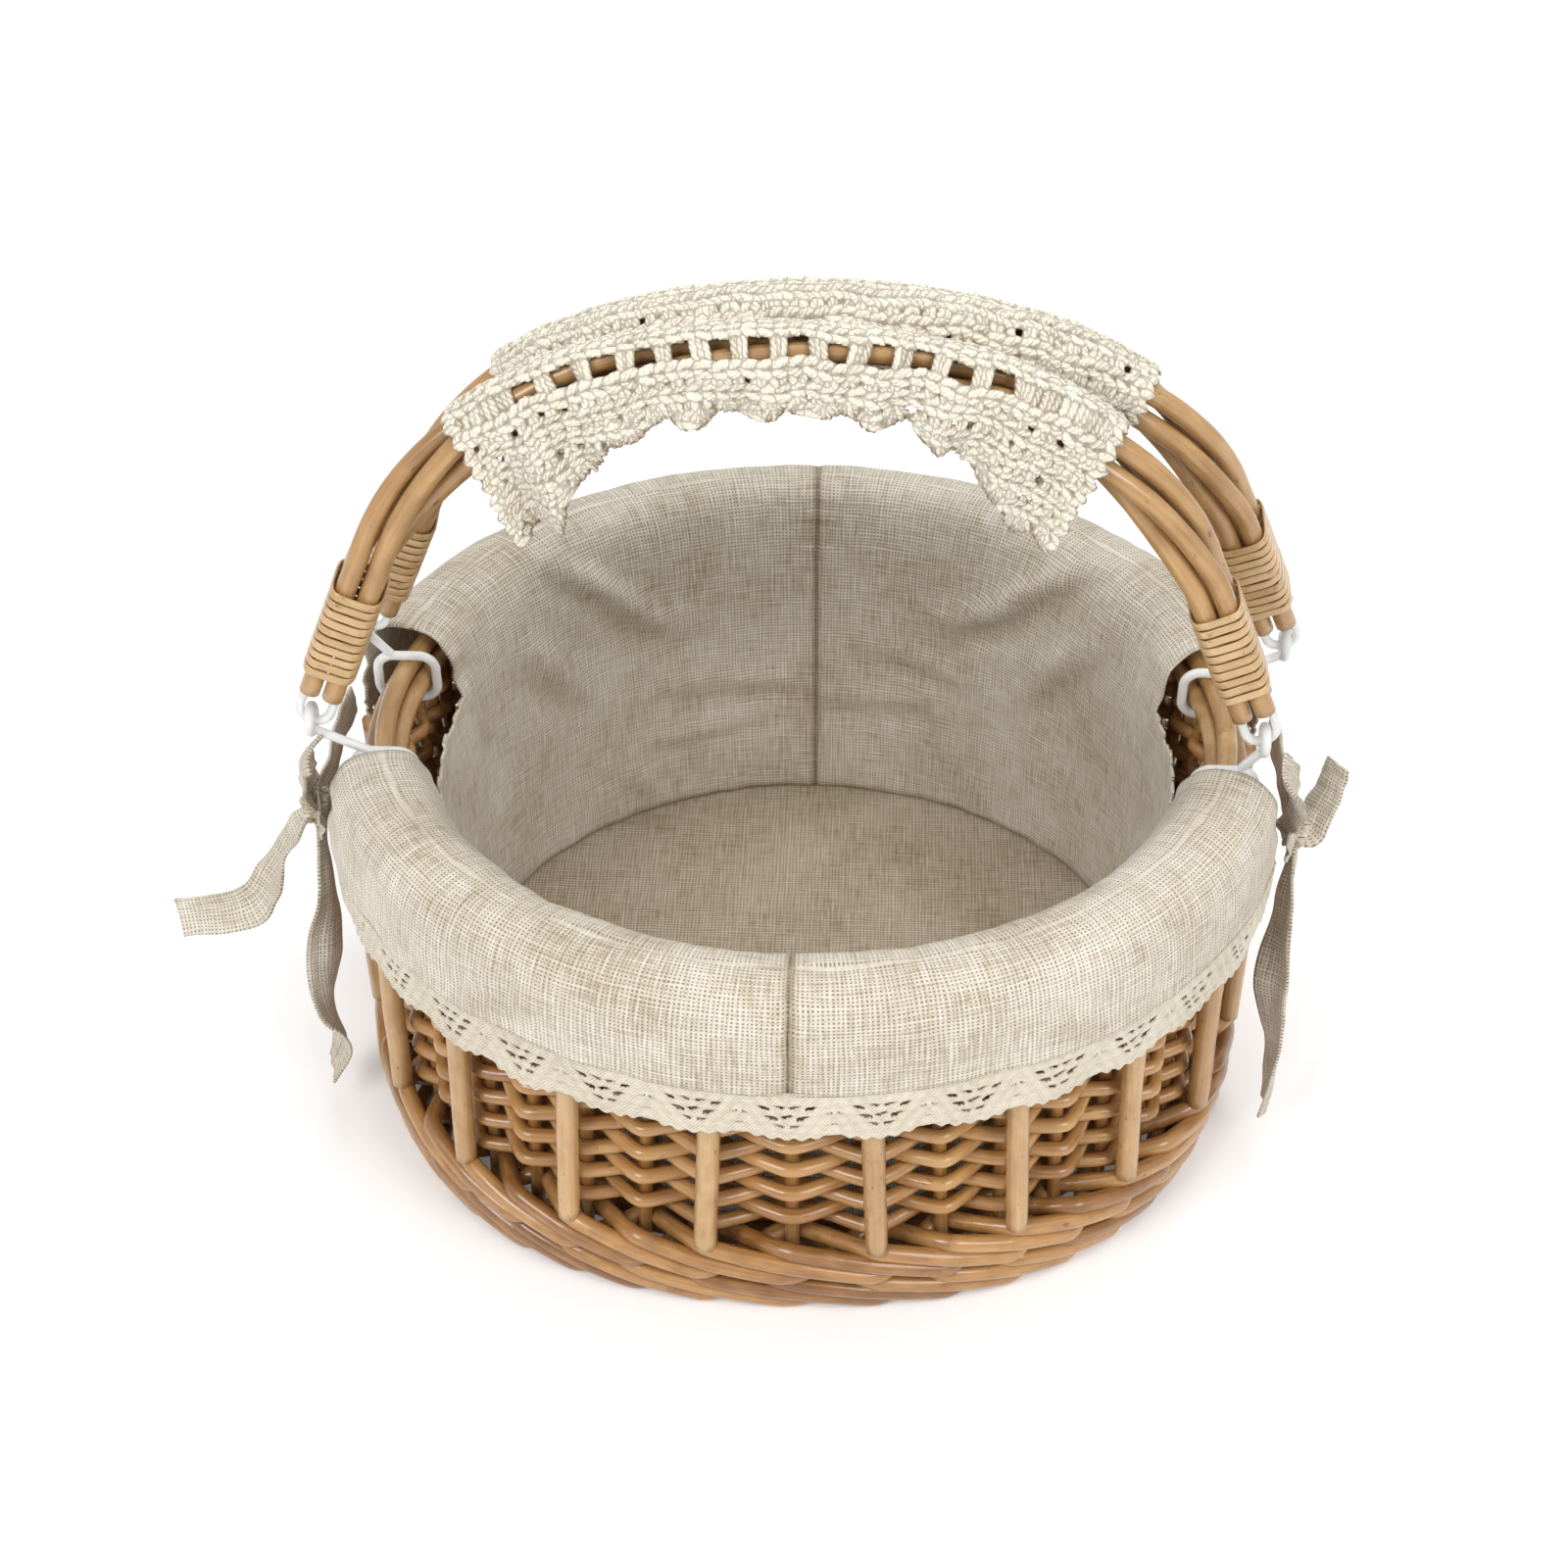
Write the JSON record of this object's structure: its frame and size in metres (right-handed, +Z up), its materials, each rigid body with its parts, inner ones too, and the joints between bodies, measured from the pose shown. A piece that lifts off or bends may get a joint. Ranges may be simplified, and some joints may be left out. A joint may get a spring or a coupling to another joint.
{
  "type": "flower girl basket",
  "caption": "Oval willow basket with a linen liner folded over the rim, lace edge, ties and swinging cane handles in crochet sleeves.",
  "frame": {"origin": "on the floor, under the middle of the base, on the flat of the middle split stick", "axes": "+Z up, +X towards the right-hand hinges and along the long way of the oval, -Y towards the front"},
  "size_m": [0.3607, 0.2654, 0.2748],
  "materials": {
    "willow": "varnished peeled willow",
    "willow_thick": "varnished peeled willow rod",
    "willow_strip": "glossy split willow skein",
    "linen": "open plain weave, washed",
    "lace": "cotton bobbin lace",
    "crochet": "chunky crocheted cotton",
    "clear_plastic": "clear flexible plastic"
  },
  "bodies": {
    "basket": {"base_sticks": "willow", "base_weave": "willow", "border_inner_rod": "willow_thick", "border_outer_rod": "willow_thick", "border_top_rod": "willow_thick", "hinge_strap_left_front": "clear_plastic", "hinge_strap_left_rear": "clear_plastic", "hinge_strap_right_front": "clear_plastic", "hinge_strap_right_rear": "clear_plastic", "lace_front": "lace", "lace_rear": "lace", "liner_floor": "linen", "liner_left_panel": "linen", "liner_right_panel": "linen", "outer_uprights": "willow_thick", "side_stakes": "willow", "tie_knot_left": "linen", "tie_knot_right": "linen", "tie_tails_left": "linen", "tie_tails_right": "linen", "wale_foot_rod": "willow", "wale_rod_1": "willow", "wale_rod_2": "willow", "wale_rod_3": "willow", "wale_rod_4": "willow", "weaver_row_01": "willow", "weaver_row_02": "willow", "weaver_row_03": "willow", "weaver_row_04": "willow", "weaver_row_05": "willow", "weaver_row_06": "willow", "weaver_row_07": "willow", "weaver_row_08": "willow", "weaver_row_09": "willow", "weaver_row_10": "willow", "weaver_row_11": "willow", "weaver_row_12": "willow", "weaver_row_13": "willow", "weaver_row_14": "willow", "weaver_row_15": "willow", "weaver_row_16": "willow", "weaver_row_17": "willow"},
    "front_handle": {"front_binding_left": "willow_strip", "front_binding_right": "willow_strip", "front_cane_1": "willow_thick", "front_cane_2": "willow_thick", "front_cane_3": "willow_thick", "front_cane_4": "willow_thick", "front_crochet_sleeve": "crochet", "front_hinge_rings": "clear_plastic"},
    "rear_handle": {"rear_binding_left": "willow_strip", "rear_binding_right": "willow_strip", "rear_cane_1": "willow_thick", "rear_cane_2": "willow_thick", "rear_cane_3": "willow_thick", "rear_cane_4": "willow_thick", "rear_crochet_sleeve": "crochet", "rear_hinge_rings": "clear_plastic"}
  },
  "joints": [
    {"name": "front_handle_swing", "type": "hinge", "parent": "basket", "child": "front_handle", "pos_m": [-0.005, -0.023, 0.145], "axis": [1, 0, 0], "range_deg": [0, 80]},
    {"name": "rear_handle_swing", "type": "hinge", "parent": "basket", "child": "rear_handle", "pos_m": [0.005, 0.023, 0.145], "axis": [-1, 0, 0], "range_deg": [0, 80]}
  ]
}
